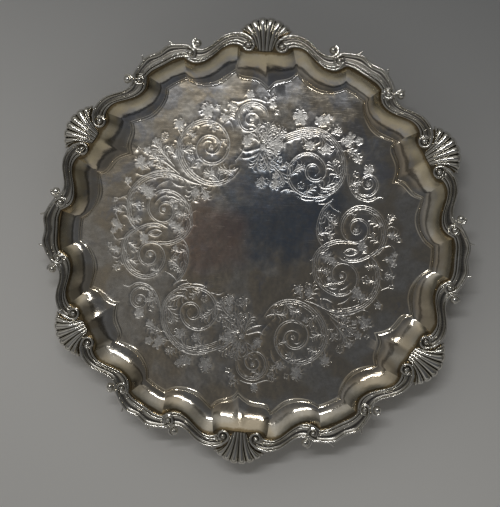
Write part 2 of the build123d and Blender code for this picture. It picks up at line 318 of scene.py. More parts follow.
# Single strokes: points and width.
STROKES = (
    ([(34.5, 37.5), (36.5, 35.3), (40, 34.8), (43.5, 36), (46, 38.8)], 1.0),
    ([(24, 28.8), (28, 27.4), (33, 27.6)], 1.0), ([(34, 27.2), (38, 28), (41, 30)], 0.9),
    ([(36, 25.6), (40, 26), (44, 28.5)], 0.8), ([(14, 31.2), (17, 32.6), (20, 32)], 0.8),
    ([(53, -3.8), (57, -5), (61.5, -3.2)], 0.9), ([(44, -21), (47, -22.7), (50, -22.5)], 0.8),
    ([(51, -23.4), (54, -22), (57, -19)], 0.8), ([(41, -29), (45, -29.3), (48, -31)], 0.7),
    ([(51, -31.5), (55, -29.6), (58, -26)], 0.7),
    ([(50, -37.4), (55, -37.6), (61, -35.8), (66, -33.6), (69, -34.6)], 0.9),
    ([(22, -34.6), (25, -34.8), (27.5, -36.5)], 0.8),
    ([(10, -42), (13, -40.4), (16.5, -40.4)], 0.9), ([(27, -56), (29, -56.4), (31, -55)], 0.7),
    ([(25, -65.4), (29, -66), (33, -64.6)], 0.8), ([(0, -50.5), (3.5, -48.3), (8, -47.4)], 1.0),
    ([(-1, -53.5), (3, -52.2), (7, -51.4), (9.5, -53)], 1.1),
    ([(-4, -80.2), (1, -81.8), (7, -81.6), (12, -79.6), (16, -79.9)], 0.9),
    ([(3, 57.5), (6, 62), (8, 69)], 0.6), ([(2, 58), (3.2, 64), (3, 70)], 0.6),
    ([(4, 57.5), (9, 61), (13.5, 65.5)], 0.7), ([(4.5, 56.5), (10, 59), (14, 58)], 0.8),
    ([(1, 58), (0, 63), (-3, 66)], 0.6), ([(3, 55), (7, 54), (10, 51)], 0.7),
    ([(2, 54), (3, 49), (6, 44), (7, 38)], 0.6), ([(1, 54), (-1, 48), (0, 42)], 0.6),
    ([(4, 53), (9, 48), (14, 45)], 0.6), ([(6, 46), (11, 42), (15, 36)], 0.6),
    ([(41, 28), (44, 24), (49, 21.5)], 0.6), ([(75, 12), (78, 15.5), (83, 13)], 0.5),
    ([(76, 6), (80, 4), (82, 0)], 0.5), ([(76, -3), (80, -10), (81, -18)], 0.5),
    ([(74, -22), (78, -20), (81, -19)], 0.5), ([(72, -26), (75, -29), (76, -33)], 0.5),
    ([(44, -36), (50, -40.5), (57, -44.5), (64, -46.5)], 0.6),
    ([(47, -40), (53, -46.5), (58, -53)], 0.6), ([(47, -37), (55, -39.6), (62, -41)], 0.6),
    ([(44, -58), (46, -62), (45.5, -66.5)], 0.7), ([(33, -68), (31, -71), (29, -75)], 0.7),
    ([(30, -31), (30, -27), (27, -24)], 0.6), ([(32, -30), (35, -27), (35.5, -23)], 0.6),
    ([(12, -46), (8, -52), (7, -57)], 0.6), ([(14, -62), (15, -66), (20, -71)], 0.6))

# Flowers and vine leaves: x, y, size, petals and whether matted.
FLOWERS = (
    (22, 74, 4.4, 5, True), (33, 73, 3.0, 5, True), (38.3, 75, 2.4, 4, True),
    (44, 67.8, 2.6, 5, False), (51.6, 65.3, 2.8, 4, True), (56.5, 63, 2.6, 5, True),
    (50.5, 60.6, 2.0, 4, True), (53.8, 56.6, 2.4, 5, False), (56.5, 52.4, 2.4, 5, True),
    (28.6, 58.6, 2.9, 5, True), (38, 57, 3.0, 5, True), (63, 47, 3.2, 5, True),
    (56, 44, 2.0, 4, False), (57, 35, 1.6, 4, True), (57.5, 38.5, 1.6, 4, True),
    (63.4, 38.8, 1.5, 5, True), (77, 21, 1.8, 4, False), (79, 10.4, 2.2, 5, True),
    (83, 8, 1.6, 4, False), (81.4, -0.4, 1.8, 5, True), (81, -6, 2.0, 5, True),
    (78, -14, 1.4, 4, False), (81, -19, 1.4, 4, False), (62.5, 3.6, 2.8, 5, True),
    (58.4, 12, 1.5, 5, True), (44.5, 18, 2.4, 5, False), (44, 7, 1.6, 4, True),
    (44, 13, 1.6, 4, False), (41, 20, 1.6, 4, False), (46.5, -7, 2.4, 5, True),
    (42.5, -12.5, 2.0, 5, False), (45, -17, 1.6, 4, True), (52, -15, 1.3, 5, True),
    (61.5, -22.6, 2.4, 5, True), (64.5, -26.6, 2.6, 5, True), (66, -16, 2.6, 5, False),
    (66.5, -8, 2.0, 4, False), (74, -30.5, 2.2, 5, True), (34, -26, 2.6, 5, True),
    (28, -24.6, 2.4, 5, True), (33, -21.8, 2.0, 4, False), (61.2, -41.2, 1.8, 4, True),
    (66.8, -43.6, 2.2, 4, True), (64, -48.6, 2.4, 5, True), (58, -48, 2.0, 5, False),
    (54, -57.6, 2.4, 7, False), (59, -54.4, 2.2, 5, True), (50, -50, 1.8, 4, False),
    (53, -44, 1.6, 4, False), (69, -49, 1.5, 4, False), (29.5, -72.4, 3.2, 5, True),
    (20, -70.4, 2.4, 5, True), (46.2, -64.6, 2.6, 5, True), (24, -76, 1.8, 4, False),
    (15, -76, 2.0, 5, False), (6.2, -57.2, 2.8, 5, True), (3.5, -60.4, 1.8, 4, True),
    (6, -83.4, 2.0, 5, True), (4, -70.8, 1.3, 5, True), (25, -38, 1.8, 4, True),
    (33, -42, 2.0, 4, True), (38, -47, 2.0, 5, False), (26.5, -53, 1.3, 5, False),
    (6, 80.4, 2.2, 5, True), (8.6, 76.6, 1.6, 4, False), (9.4, 66.4, 1.8, 4, False),
    (13.4, 58, 2.0, 4, True), (9.4, 54.2, 1.8, 4, True), (1.8, 56, 1.6, 6, True),
    (10, 40, 2.2, 5, True), (13.6, 36, 2.2, 5, False), (5, 36.4, 2.0, 5, False),
    (1, 44, 1.8, 4, False), (7.6, 47.2, 1.6, 4, False), (16, 47, 1.6, 4, False),
    (1.4, 36, 1.8, 5, False), (12.4, 49.4, 1.5, 4, False), (44, 50, 2.0, 5, False),
    (24, 46, 1.8, 5, False), (25, 35.5, 2.2, 5, False))

# Leaves: base x and y, tip x and y, bend, pairs of lobes, and True if matted.
LEAVES = (
    (48.5, 41, 41.5, 51, 0.2, 5), (33, 66, 38.5, 54, 0.25, 5), (22, 64.5, 29, 57, 0.25, 4),
    (18.5, 40, 27, 47, 0.3, 5), (27, 31.5, 33, 36, -0.3, 4), (36, 31.5, 46, 39, 0.2, 5),
    (24, 69.5, 22, 79, 0.2, 4, True), (34, 69.5, 37, 77, -0.2, 4, True), (40, 66, 46, 69, 0.2, 4),
    (45, 62, 54, 62, 0.2, 4, True), (49, 57, 58, 53, 0.2, 4), (53, 37, 60, 40, 0.2, 4),
    (63, 44, 64, 50, 0.1, 4, True), (73.5, 16, 66, 19, 0.3, 4), (72, 6, 67, 11, 0.3, 4),
    (52, 21, 58, 20, 0.3, 3), (39, 22, 47, 14, -0.2, 5), (37, 8, 46, 8, 0.3, 4),
    (66, -1, 62, 5, 0.3, 4, True), (76, 10, 83, 10, 0.2, 4), (76, 16, 80, 22, 0.2, 3),
    (38, -3, 46, -7, 0.3, 5, True), (37, -13, 45, -14, 0.3, 5), (42, -22, 49, -20, 0.3, 4),
    (60, -20, 64, -28, -0.3, 4, True), (73, -8, 66, -9, -0.3, 4), (73, -18, 66, -17, -0.3, 4),
    (70, -27, 62, -24, 0.3, 4), (75, -4, 82, -4, 0.2, 4, True), (76, -12, 82, -14, 0.2, 3),
    (31, -30, 27, -22, 0.2, 4), (33, -30.5, 36, -21, -0.2, 4), (12, -37, 22, -40, -0.3, 5),
    (20, -32.5, 30, -38, -0.3, 5), (40, -39, 35, -46, -0.3, 4), (45, -50, 37, -53, -0.3, 4),
    (42, -60, 36, -58, 0.3, 4), (30, -67, 24, -62.5, 0.3, 4), (18, -58, 24, -56, 0.3, 3),
    (30, -69, 29, -78, 0.2, 5, True), (43, -61, 47, -68, 0.2, 4, True),
    (20, -66, 15, -74, 0.2, 4), (48, -38, 58, -40, 0.2, 4), (52, -42, 62, -47, 0.2, 5),
    (50, -44, 59, -55, 0.2, 5), (46, -46, 51, -53, 0.2, 3), (62, -38, 70, -44, 0.2, 4, True),
    (10, -76, 4, -74, 0.3, 3), (-2, -64, -6, -57, 0.2, 4), (6, -62, 6, -55, 0.1, 4, True),
    (12, -76, 18, -79, 0.2, 3), (-4, -80, -9, -84, 0.2, 3), (5, -81, 6, -87, 0.1, 4, True),
    (3, 58, 6, 70, 0.1, 5), (4, 57, 14, 67, 0.1, 5), (0, 58, -3, 69, 0.1, 4),
    (4, 56, 15, 58, 0.2, 4, True), (3, 54, 12, 50, 0.2, 4), (2, 54, 5, 42, 0.2, 5),
    (0, 54, -4, 43, 0.2, 4), (8, 46, 16, 36, 0.2, 5), (12, 44, 16, 47, 0.2, 3),
    (2, 40, 1, 33, 0.2, 4), (9, 39, 10, 32, 0.2, 4, True))

# Strokes that shapes are made of: points along and across the shape, in units of its size.
COMMA = ((0.0, 0.1), (0.45, 0.17), (0.9, 0.4), (1.15, 0.8))
LOBE = ((0.0, 0.1), (0.42, 0.32), (0.72, 0.66), (0.62, 0.98))
PETAL = ((0.2, 0.0), (0.55, 0.3), (0.95, 0.12), (0.95, -0.12), (0.55, -0.3), (0.2, 0.0))
CUT_STEP = 0.8                             # between the points of a stroke, mm
CUT_HALF = 0.6                             # half-width of a stroke of width 1, mm
CUT_SLOPE = 0.3                            # depth of a groove for its half-width
CUT_REACH = 0.8                            # no stroke is wider than this to one side, mm
FROST_DEPTH = (0.04, 0.12)                 # least and most depth in a matted leaf, mm
RIB_STEPS = 12
LEAF_GRID = (0.5, 0.43)                    # in matted leaves: between points, between rows, mm
FLAT_GRID = (2.6, 2.25)                    # the same on the rest of the flat
FLAT_GRID_RADIUS = 88
cuts = []                                  # (points, half-widths) of every graver stroke
frosted = []                               # (x, y, size, lobes, angle) of matted leaves


def cut(points, width, ends):
    """One graver stroke through the points, running out over the share ends of its length."""
    p = np.array(points, float)
    length = np.linalg.norm(np.diff(p, axis=0), axis=1).sum()
    line = smooth(p, max(4, round(length / CUT_STEP)))
    t = np.linspace(0, 1, len(line))
    run_out = np.clip(np.minimum(t, 1 - t) / ends + 0.15, 0, 1) ** 0.7
    cuts.append((line, CUT_HALF * width * run_out))
    return line


def set_out(shape, at, along, aside, size):
    """The points of a shape at a place on the flat."""
    return [at + size * (a * along + b * aside) for a, b in shape]


def left_of(way):
    """The direction a quarter turn to the left."""
    return np.array([-way[1], way[0]])


def part_of(line, start, stop):
    """The points of the line between two shares of its length."""
    n = len(line) - 1
    return line[int(start * n):int(stop * n) + 1]


def barbs(line, side, start, stop, count, length):
    """Comma strokes that leave the line on one side, as the edge of an acanthus leaf."""
    run = part_of(line, start, stop)
    ways = directions(run)
    for k in range(count):
        i = round((k + 0.5) / count * (len(run) - 1))
        size = length * (0.65 + 0.35 * sin(pi * (k + 0.5) / count))
        cut(set_out(COMMA, run[i], ways[i], side * left_of(ways[i]), size), 0.55, 0.4)


def scroll(points, width, gaps, leaves):
    """A long stem with lines beside parts of it, and leaves off it."""
    line = cut(points, width, 0.06)
    for gap, start, stop in gaps:
        cut(beside(part_of(line, start, stop), gap)[::3], 0.75 * width, 0.15)
    for leaf in leaves:
        barbs(line, *leaf)


def flower(x, y, size, petals, angle, matted):
    """Petals round a middle."""
    for k in range(petals):
        a = angle + tau * k / petals
        along = np.array([cos(a), sin(a)])
        cut(set_out(PETAL, np.array([x, y]), along, left_of(along), size), 0.45, 0.25)
    if matted:
        frosted.append((x, y, size, petals, angle))


def acanthus(x0, y0, x1, y1, bend, lobes, matted=False):
    """A leaf from its base to its tip: a bent rib with paired comma strokes."""
    base, tip = np.array([x0, y0], float), np.array([x1, y1], float)
    way = tip - base
    side = left_of(way)
    rib = smooth([base, base + 0.5 * way + 0.5 * bend * side, tip], RIB_STEPS)
    cut(rib[::3], 0.65, 0.3)
    ways = directions(rib)
    for k in range(lobes):
        f = (k + 0.35) / lobes
        i = round(RIB_STEPS * f)
        size = 0.4 * hypot(*way) * sin(pi * (0.3 + 0.6 * f))
        for s in (-1, 1):
            cut(set_out(LOBE, rib[i], ways[i], s * left_of(ways[i]), size), 0.6, 0.35)
    if matted:
        mid = base + 0.55 * way + 0.35 * bend * side
        frosted.append((mid[0], mid[1], 0.36 * hypot(*way), 5, atan2(way[1], way[0])))


def draw_half():
    """Fills cuts and frosted with half the pattern."""
    for entry in SCROLLS:
        scroll(*entry)
    for points, width in STROKES:
        cut(points, width, 0.35)
    for x, y, size, petals, matted in FLOWERS:
        flower(x, y, size, petals, 0.9 * x + 0.4 * y, matted)
    for leaf in LEAVES:
        acanthus(*leaf)


draw_half()


def both(points):
    """The points, and the same for the other half of the pattern."""
    return points, 2 * TURN_ABOUT - points


def matted_leaves():
    """Middle, size, lobes and angle of every matted leaf of both halves."""
    for x, y, size, lobes, angle in frosted:
        for middle, spin in zip(both(np.array((x, y))), (0, pi)):
            yield middle, size, lobes, angle + spin


def leaf_radius(angle, size, lobes, start):
    """The outline of a matted leaf, by the angle round its middle."""
    return size * (0.72 + 0.28 * np.cos(lobes * (angle - start)))


def grid(step, row, columns, rows):
    """Points of a triangular grid round (0, 0)."""
    return [(step * (i + 0.5 * (j % 2)), row * j)
            for i in range(-columns, columns + 1) for j in range(-rows, rows + 1)]


def engraved_disc(boundary):
    """Points and triangles over the flat, close under the strokes and in matted leaves."""
    points = [tuple(p) for p in boundary]
    edges = []
    for line, widths in cuts:
        for middle in both(line):
            first = len(points)
            points += [tuple(p) for p in middle]
            edges += [(first + i, first + i + 1) for i in range(len(middle) - 1)]
            for side in (-1, 1):
                points += [tuple(p) for p in beside(middle, side * widths)]
    for middle, size, lobes, angle in matted_leaves():
        reach = int(size / LEAF_GRID[0])
        for x, y in grid(*LEAF_GRID, reach, reach):
            if hypot(x, y) < leaf_radius(atan2(y, x), size, lobes, angle):
                points.append((middle[0] + x, middle[1] + y))
    points += [p for p in grid(*FLAT_GRID, 34, 39) if hypot(*p) < FLAT_GRID_RADIUS]
    out = mathutils.geometry.delaunay_2d_cdt([Vector(p) for p in points], edges,
                                             [list(range(len(boundary)))], 1, 0.02)
    verts, tris = out[0], [tuple(f) for f in out[2] if len(f) == 3]
    return np.array([tuple(v) for v in verts]), tris


def groove_depths(flat_points):
    """Depth in mm of the graver strokes at each point."""
    centre, half = [], []
    for line, widths in cuts:
        fine = smooth(line, 4 * (len(line) - 1))
        w = np.interp(np.linspace(0, 1, len(fine)), np.linspace(0, 1, len(widths)), widths)
        for p in both(fine):
            centre.append(p)
            half.append(w)
    centre, half = np.concatenate(centre), np.concatenate(half)
    tree = mathutils.kdtree.KDTree(len(centre))
    for i, p in enumerate(centre):
        tree.insert((p[0], p[1], 0), i)
    tree.balance()
    depth = np.zeros(len(flat_points))
    for k, p in enumerate(flat_points):
        for _, i, off in tree.find_range((p[0], p[1], 0), CUT_REACH):
            depth[k] = max(depth[k], CUT_SLOPE * (half[i] - off))
    return depth


def frosting(flat_points):
    """Rough depth in mm of the matted leaves at each point."""
    rng = np.random.default_rng(7)
    depth = np.zeros(len(flat_points))
    for middle, size, lobes, angle in matted_leaves():
        off = flat_points - middle
        reach = leaf_radius(np.arctan2(off[:, 1], off[:, 0]), size, lobes, angle)
        inside = np.hypot(off[:, 0], off[:, 1]) < reach
        rough = rng.uniform(*FROST_DEPTH, inside.sum())
        depth[inside] = np.maximum(depth[inside], rough)
    return depth


# The double bead round the flat: share of the way to the flange, and height on the flat.
RING_BEAD = ((-0.135, 0.1), (-0.115, 0.28), (-0.09, 0.34), (-0.065, 0.26), (-0.05, 0.16),
             (-0.035, 0.16), (-0.02, 0.34), (0.0, 0.58), (0.02, 0.66), (0.04, 0.6),
             (0.055, 0.46))
LEDGE = 0.45                               # height at the foot of the bouge, mm
BOUGE_ROWS, UNDER_ROWS = 18, 8
ENGRAVED_RADIUS = 88.5                     # the engraving stays within this, mm


def build_tray():
    """The sheet, with the engraved flat set into its inner ring."""
    verts, faces = [], []
    inner = bouge_ring(-0.15, FLAT)
    top = [inner] + [bouge_ring(share, FLAT + rise) for share, rise in RING_BEAD]
    for k in range(1, BOUGE_ROWS + 1):
        share = 0.06 + 0.94 * k / BOUGE_ROWS
        top.append(bouge_ring(share, FLAT + LEDGE + (RIM - FLAT - LEDGE) * share ** 2.0))
    outer = [[(x, y, z) for x, y in edge_ring] for z in (RIM, RIM - SHEET)]
    under = []
    for k in range(UNDER_ROWS, -1, -1):
        share = k / UNDER_ROWS
        under.append(bouge_ring(share + 0.07, FLAT - SHEET + (RIM - FLAT) * share ** 1.8))
    strip(top + outer + under, verts, faces, closed=True)
    faces.append(tuple(range(len(verts) - len(base_ring), len(verts))))
    disc, tris = engraved_disc([p[:2] for p in inner])
    first = len(verts)
    for (x, y), groove, matt in zip(disc, groove_depths(disc), frosting(disc)):
        verts.append((x, y, FLAT - max(groove, matt)))
    faces += [(a + first, b + first, c + first) for a, b, c in tris]
    piece = new_piece("tray_sheet", verts, faces, sharp=24)
    at = np.array([v.co for v in piece.data.vertices]) / MM
    level = at[:, 2]
    on_flat = (np.hypot(at[:, 0], at[:, 1]) < ENGRAVED_RADIUS) * (level > FLAT - 0.5)
    marks = piece.data.attributes.new("engraved", "FLOAT", "POINT")
    marks.data.foreach_set("value", np.clip((FLAT - level) / 0.1, 0, 1) * on_flat)
    return piece


# ---- cast mouldings ----------------------------------------------------------------------
# Plan lines in mm: outer and inner edges, middles of the rolled ends and of the ball.
shell_eye, crown_eye, ball_at = (9.7, 112.6), (42.4, 106.3), (38.4, 112.2)
EYES = [shell_eye, crown_eye, mirrored(crown_eye)]
s_outer = [(9.3, 118.2), (13.0, 119.5), (17.3, 119.5), (22.4, 118.0), (27.4, 114.4),
           (31.8, 110.7), (36.0, 109.2), (39.0, 109.5), (41.4, 110.4)]
s_inner = [(12.6, 110.4), (14.8, 111.7), (17.3, 112.2), (21.2, 111.6), (25.6, 108.8),
           (29.8, 104.9), (34.6, 101.6), (40.0, 100.4), (46.5, 103.4)]
c_outer = [(41.9, 110.9), (46.5, 111.3), (51.0, 111.1), (54.8, 110.4), polar(122.2, 30)]
c_inner = [(46.5, 103.4), (48.6, 103.0), (50.8, 102.2), (52.8, 101.1), polar(113.8, 30)]
EYE_REACH, LOW_BAND = 3.3, 0.4             # within this of an eye the band is this low, mm
TOP = RIM + 1.95                           # middle of the hook and the spurs at their start
# Disc under a rolled end: radius and height on the flange.
EYE_DISC = ((3.35, 0.0), (3.4, 0.9), (2.9, 1.1), (2.3, 0.45), (1.5, 0.35), (0.2, 0.6))
DISC_SIDES = 40


def moulding_profile(wide):
    """(distance in from the outer edge, height) across the moulding, from the flange up."""
    line = [(0.2, 0.0), (0.02, 0.9)]
    line += spiral((0.8, 2.1), 190, -50, 0.78, 0.78, 12)
    near, far = 1.5, wide - 3.6
    for f in np.linspace(0.06, 1.0, 11):
        line.append((near + (far - near) * f, 1.4 - 0.35 * f - 0.75 * sin(pi * f ** 0.8)))
    line += spiral((wide - 2.95, 1.5), 205, -60, 0.7, 0.7, 10)
    line.append((wide - 2.12, 0.55))
    line += spiral((wide - 1.25, 1.05), 225, -20, 0.72, 0.72, 9)
    line.append((wide - 0.45, 0.0))
    return line


def band(outer, inner, count, verts, faces):
    """The moulding between two plan lines, closed underneath and low at the rolled ends."""
    rows = []
    for o, i in zip(smooth(outer, count), smooth(inner, count)):
        wide = hypot(*(i - o))
        way = (i - o) / wide
        row = []
        for d, h in moulding_profile(wide):
            at = o + way * d
            near_eye = any(hypot(*(at - eye)) < EYE_REACH for eye in EYES)
            row.append((*at, RIM + (min(h, LOW_BAND) if near_eye else h)))
        rows.append(row)
    strip(rows, verts, faces, closed=True, cap=True)


def rolled_end(eye, path, eye_radius, verts, faces):
    """A bead curling in round a domed eye, over a low disc."""
    line = smooth(path, 56)
    radii = np.linspace(0.95, 0.5, len(line))
    lift = np.linspace(1.95, 1.5, len(line))
    tube([(x, y, RIM + h) for (x, y), h in zip(line, lift)], radii, verts, faces)
    rows = []
    for r, h in EYE_DISC:
        rows.append([(eye[0] + r * cos(q), eye[1] + r * sin(q), RIM + h)
                     for q in (tau * k / DISC_SIDES for k in range(DISC_SIDES))])
    strip(rows, verts, faces, closed=True, cap=True)
    ball((*eye, RIM + 1.75), eye_radius, verts, faces)


def build_s_scroll():
    """The band from shell to C-scroll, rolled beside the shell and hooked to a ball."""
    verts, faces = [], []
    band(s_outer, s_inner, 64, verts, faces)
    curl = [(14.5, 118.7), (12.2, 118.2), (9.6, 117.1), (7.4, 115.3)] \
        + spiral(shell_eye, 176, 430, 3.35, 2.15, 10)
    rolled_end(shell_eye, curl, 1.5, verts, faces)
    hook = smooth([(35.6, 108.4), (38.0, 108.6)] + spiral(ball_at, -58, 62, 3.0, 2.75, 6), 30)
    radii = np.concatenate([np.full(16, 0.85), np.linspace(0.85, 0.65, 15)])
    tube([(x, y, TOP - 0.015 * k) for k, (x, y) in enumerate(hook)], radii, verts, faces)
    ball((*ball_at, RIM + 1.3), 2.3, verts, faces, rings=14, sides=26)
    return verts, faces


def build_c_scroll():
    """The band between two S-scrolls, with two rolled ends and two spurs."""
    verts, faces = [], []
    band(c_outer + across(c_outer)[1:], c_inner + across(c_inner)[1:], 60, verts, faces)
    curl = [(47.5, 110.35), (44.2, 110.1), (41.6, 108.9)] \
        + spiral(crown_eye, 165, 415, 2.75, 1.95, 10)
    rolled_end(crown_eye, curl, 1.65, verts, faces)
    rolled_end(mirrored(crown_eye), [mirrored(p) for p in curl], 1.65, verts, faces)
    spur = smooth([(49.6, 110.3), (52.4, 110.5), (54.5, 112.2)], 10)
    radii = np.linspace(0.9, 0.5, len(spur))
    for line in (spur, [mirrored(p) for p in spur]):
        tube([(x, y, TOP + 0.03 * k) for k, (x, y) in enumerate(line)], radii, verts, faces)
    return verts, faces


# ---- scallop shell -----------------------------------------------------------------------
# Plan of the valleys between the flutes, from the middle one outward: base, bend and tip.
FAN = (((0, 109.6), (0, 118.0), (0, 128.9)),
       ((1.8, 109.6), (2.3, 118.0), (5.4, 128.1)),
       ((3.55, 109.8), (4.6, 118.0), (10.4, 125.6)),
       ((4.9, 111.8), (6.5, 118.8), (13.9, 122.6)),
       ((5.4, 114.4), (7.9, 119.6), (15.2, 120.9)))
ACROSS, ALONG = 80, 34                     # faces across all the flutes, and along them


def fan_point(flute, reach):
    """Plan point by the number of flutes from the middle and the share of the way out."""
    lines = [[np.interp(flute, range(len(FAN)), [line[part][axis] for line in FAN])
              for axis in (0, 1)] for part in range(3)]
    u, v, w = (1 - reach) ** 2, 2 * reach * (1 - reach), reach ** 2
    return [u * base + v * bend + w * tip for base, bend, tip in zip(*lines)]


def build_shell():
    """Eight rounded flutes over a flat base."""
    rows = []
    for j in range(ALONG + 1):
        t = j / ALONG
        crest = 1.7 + 5.2 * t - 3.9 * t ** 2
        low = max(0.35, crest - 1.15 * (0.9 + 1.35 * t))
        tip = sqrt(max(0.0, 1 - (max(0, t - 0.86) / 0.14) ** 2))
        row = []
        for i in range(ACROSS + 1):
            flute = 4 * (2 * i / ACROSS - 1)
            rib = sqrt(max(0.0, 1 - (2 * (abs(flute) % 1.0) - 1) ** 2))
            x, y = fan_point(abs(flute), t * (0.93 + 0.07 * rib))
            z = (low + (crest - low) * rib) * tip
            row.append((x if flute >= 0 else -x, y, RIM + max(z, 0.05)))
        rows.append(row)
    verts, faces = [], []
    strip(rows, verts, faces)
    n, first = ACROSS + 1, len(verts)
    verts.extend((x, y, RIM) for row in rows for x, y, _ in row)
    up = list(range(n))                    # round the edge of the top
    up += [r * n + n - 1 for r in range(1, ALONG + 1)]
    up += [ALONG * n + i for i in range(n - 2, -1, -1)]
    up += [r * n for r in range(ALONG - 1, 0, -1)]
    down = [first + k for k in up]
    for k in range(len(up)):
        m = (k + 1) % len(up)
        faces.append((up[k], up[m], down[m], down[k]))
    faces.append(tuple(down))
    return verts, faces


# ---- pieces ------------------------------------------------------------------------------
def copies(name, shape, flipped):
    """One separate piece for each lobe, each standing for its CAD node."""
    verts, faces = shape
    for lobe in range(LOBES):
        placed = []
        for x, y, z in verts:
            placed.append((*turn((-x if flipped else x, y), lobe * PITCH), z))
        yield f"{name}_{lobe + 1}", placed, faces


tray = build_tray()
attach(tray, "root")
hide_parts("tray")
castings = []
for node, shape, flipped in (("shell", build_shell(), False),
                             ("s_scroll_right", build_s_scroll(), False),
                             ("s_scroll_left", build_s_scroll(), True),
                             ("c_scroll", build_c_scroll(), False)):
    for name, verts, faces in copies(node, shape, flipped):
        piece = new_piece(name + "_cast", verts, faces, sharp=50)
        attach(piece, "root")
        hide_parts(name)
        castings.append(piece)


# ---- materials ---------------------------------------------------------------------------
class Nodes:
    """Short ways to add shader nodes; values may be constants or other nodes' outputs."""

    def __init__(self, tree):
        self.tree = tree

    def add(self, kind, out=0, **inputs):
        """A node's output; inputs are settings, sockets by name, or i0, i1, i2 by number."""
        node = self.tree.nodes.new(kind)
        for key in [k for k in inputs if hasattr(node, k) and k not in node.inputs]:
            setattr(node, key, inputs.pop(key))
        for key, value in inputs.items():
            socket = node.inputs[int(key[1:]) if key[0] == "i" and key[1:].isdigit() else key]
            if isinstance(value, bpy.types.NodeSocket):
                self.tree.links.new(value, socket)
            else:
                socket.default_value = value
        return node.outputs[out]

    def maths(self, operation, a, b):
        return self.add("ShaderNodeMath", operation=operation, i0=a, i1=b)

    def plus(self, a, b):
        return self.maths("ADD", a, b)

    def times(self, a, b):
        return self.maths("MULTIPLY", a, b)

    def span(self, value, low, high, to_low=0.0, to_high=1.0, smoothed=True):
        """The value's place between low and high, mapped to to_low and to_high."""
        kind = "SMOOTHSTEP" if smoothed else "LINEAR"
        return self.add("ShaderNodeMapRange", i0=value, i1=low, i2=high, i3=to_low, i4=to_high,
                        interpolation_type=kind)

    def parts(self, vector):
        """x, y and z of a vector."""
        node = self.add("ShaderNodeSeparateXYZ", Vector=vector).node
        return node.outputs[0], node.outputs[1], node.outputs[2]

    def ramp(self, value, stops):
        """A colour ramp from (position, colour) stops."""
        node = self.tree.nodes.new("ShaderNodeValToRGB")
        self.tree.links.new(value, node.inputs[0])
        steps = node.color_ramp.elements
        for k, (position, colour) in enumerate(stops):
            step = steps[k] if k < 2 else steps.new(position)
            step.position = position
            step.color = (*colour, 1)
        return node.outputs[0]

    def mix(self, share, a, b):
        """Colour a turned into colour b by a share from 0 to 1."""
        node = self.tree.nodes.new("ShaderNodeMix")
        node.data_type = "RGBA"
        for index, value in ((0, share), (6, a), (7, b)):
            if isinstance(value, bpy.types.NodeSocket):
                self.tree.links.new(value, node.inputs[index])
            else:
                node.inputs[index].default_value = value if index == 0 else (*value, 1)
        return node.outputs[2]

    def noise(self, at, scale, detail, rough, twist=0.0):
        """Cloudy noise from about 0.3 to 0.7, with scale cycles for each unit of at."""
        return self.add("ShaderNodeTexNoise", Vector=at, Scale=scale, Detail=detail,
                        Roughness=rough, Distortion=twist)

    def attribute(self, name):
        """A number stored at the mesh's vertices."""
        return self.add("ShaderNodeAttribute", out=2, attribute_name=name)

    def distance(self, at, point):
        return self.add("ShaderNodeVectorMath", out=1, operation="DISTANCE", i0=at, i1=point)


DULL, BRIGHT = (0.74, 0.71, 0.64), (0.92, 0.905, 0.86)
WARM, REFLECTED_BLUE, REFLECTED_BROWN = (0.68, 0.58, 0.43), (0.27, 0.33, 0.41), (0.6, 0.42, 0.34)
OILY, MOTTLED, STRAW = (0.42, 0.46, 0.55), (0.5, 0.46, 0.4), (0.84, 0.73, 0.5)
STAIN, FRESH_CUT, DARK_TARNISH_AND_SHADE = (0.3, 0.22, 0.11), (0.84, 0.82, 0.78), (0.06, 0.048, 0.032)
# Middles of the two painted reflections on the flat, mm.
BLUE_REFLECTION_AT, BROWN_REFLECTION_AT = (14.0, 24.0, FLAT), (-24.0, 2.0, FLAT)


